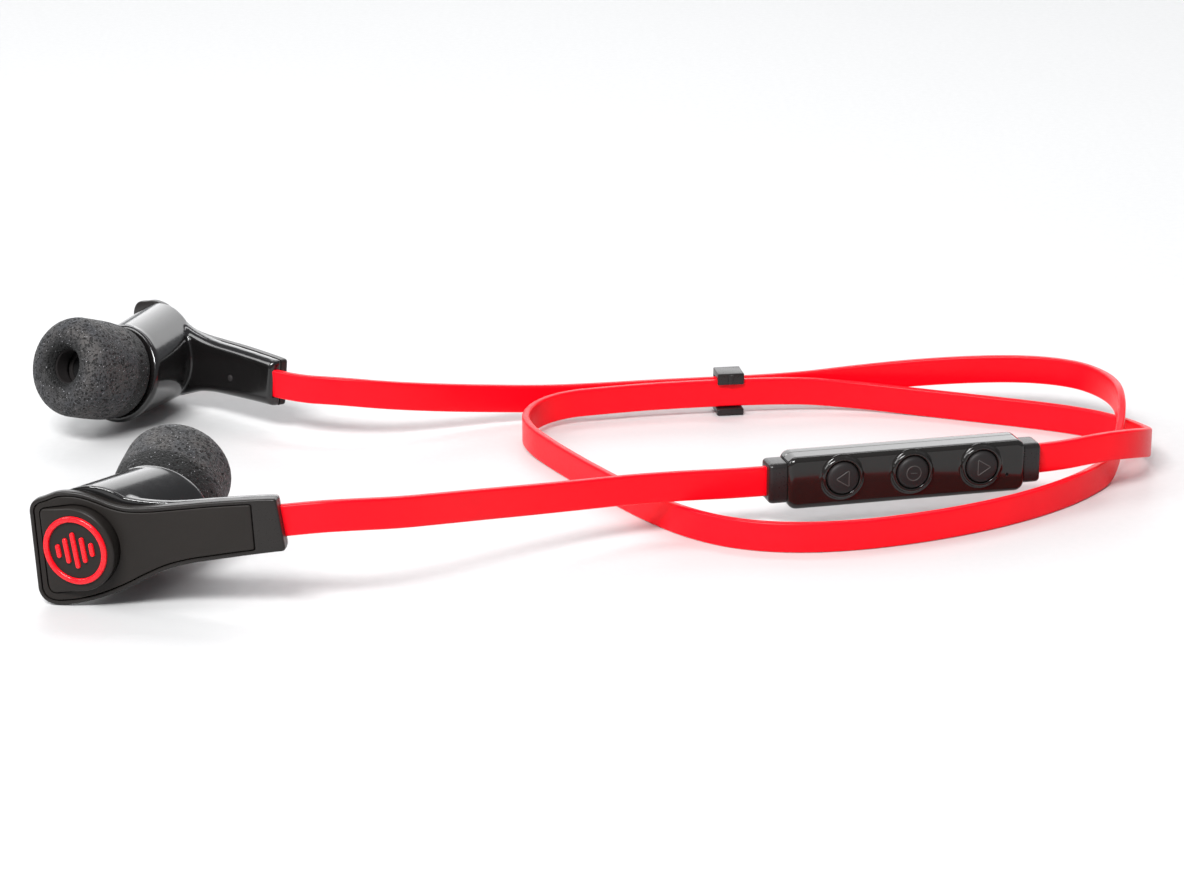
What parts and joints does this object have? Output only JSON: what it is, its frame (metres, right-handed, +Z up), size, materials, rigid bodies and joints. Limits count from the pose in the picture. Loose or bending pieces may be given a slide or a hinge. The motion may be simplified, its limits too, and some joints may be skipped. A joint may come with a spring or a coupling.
{
  "type": "neck-cord in-ear earphones",
  "caption": "In-ear earphones joined by a flat red neck cord standing on edge, with foam ear tips, an in-line three-button remote and a cord slider.",
  "frame": {"origin": "on the surface that the set stands on, under the middle of the box round the two earpieces and the remote", "axes": "+X from the earpieces towards the remote, +Y away from the front earpiece towards the rear one, +Z up"},
  "size_m": [0.137, 0.0829, 0.0154],
  "materials": {
    "satin_shell": "satin, warm dark grey",
    "gloss_shell": "polished piano black",
    "emblem_red": "painted red",
    "rubber_dark": "matt, fine grain",
    "metal": "plain",
    "copper": "lacquered wire",
    "film": "thin film",
    "inner_plastic": "moulded",
    "foam": "open-cell memory foam, pitted",
    "board": "solder mask",
    "satin_trim": "satin",
    "cord_red": "satin silicone skin"
  },
  "bodies": {
    "headset": {"right_outer_shell": "satin_shell", "right_cover_plate": "satin_shell", "right_emblem_ring": "emblem_red", "right_emblem_bars": "emblem_red", "right_inner_shell": "gloss_shell", "right_nozzle": "gloss_shell", "right_vent_insert": "rubber_dark", "right_nozzle_mesh": "metal", "right_driver_magnet": "metal", "right_driver_frame": "metal", "right_voice_coil": "copper", "right_driver_diaphragm": "film", "right_cord_anchor": "inner_plastic", "left_outer_shell": "satin_shell", "left_cover_plate": "satin_shell", "left_emblem_ring": "emblem_red", "left_emblem_bars": "emblem_red", "left_inner_shell": "gloss_shell", "left_nozzle": "gloss_shell", "left_vent_insert": "rubber_dark", "left_nozzle_mesh": "metal", "left_driver_magnet": "metal", "left_driver_frame": "metal", "left_voice_coil": "copper", "left_driver_diaphragm": "film", "left_cord_anchor": "inner_plastic", "right_main_board": "board", "left_battery_board": "board", "remote_board": "board", "right_radio_module": "metal", "left_battery": "metal", "remote_switch_domes": "metal", "remote_microphone": "metal", "remote_front_housing": "gloss_shell", "remote_rear_housing": "gloss_shell", "remote_cord_anchors": "inner_plastic", "remote_left_sleeve": "satin_trim", "remote_right_sleeve": "satin_trim", "cord_long": "cord_red", "cord_short": "cord_red"},
    "right_ear_tip": {"right_tip_core": "rubber_dark", "right_tip_foam": "foam"},
    "left_ear_tip": {"left_tip_core": "rubber_dark", "left_tip_foam": "foam"},
    "volume_down_key": {"volume_down_button": "rubber_dark"},
    "function_key": {"function_button": "rubber_dark"},
    "volume_up_key": {"volume_up_button": "rubber_dark"},
    "slider": {"cord_slider": "satin_trim"}
  },
  "joints": [
    {"name": "right_tip_pull_off", "type": "slide", "parent": "headset", "child": "right_ear_tip", "axis": [0.1663, 0.9605, 0.2232], "range_m": [0, 0.009]},
    {"name": "left_tip_pull_off", "type": "slide", "parent": "headset", "child": "left_ear_tip", "axis": [-0.5456, -0.7693, 0.3323], "range_m": [0, 0.009]},
    {"name": "volume_down_press", "type": "slide", "parent": "headset", "child": "volume_down_key", "axis": [-0.2468, 0.9691, 0], "range_m": [0, 0.00025], "stiffness_N_per_m": 400},
    {"name": "function_press", "type": "slide", "parent": "headset", "child": "function_key", "axis": [-0.2468, 0.9691, 0], "range_m": [0, 0.00025], "stiffness_N_per_m": 400},
    {"name": "volume_up_press", "type": "slide", "parent": "headset", "child": "volume_up_key", "axis": [-0.2468, 0.9691, 0], "range_m": [0, 0.00025], "stiffness_N_per_m": 400},
    {"name": "cord_slider_travel", "type": "slide", "parent": "headset", "child": "slider", "axis": [0.9885, 0.1513, 0], "range_m": [-0.003, 0.003]}
  ]
}
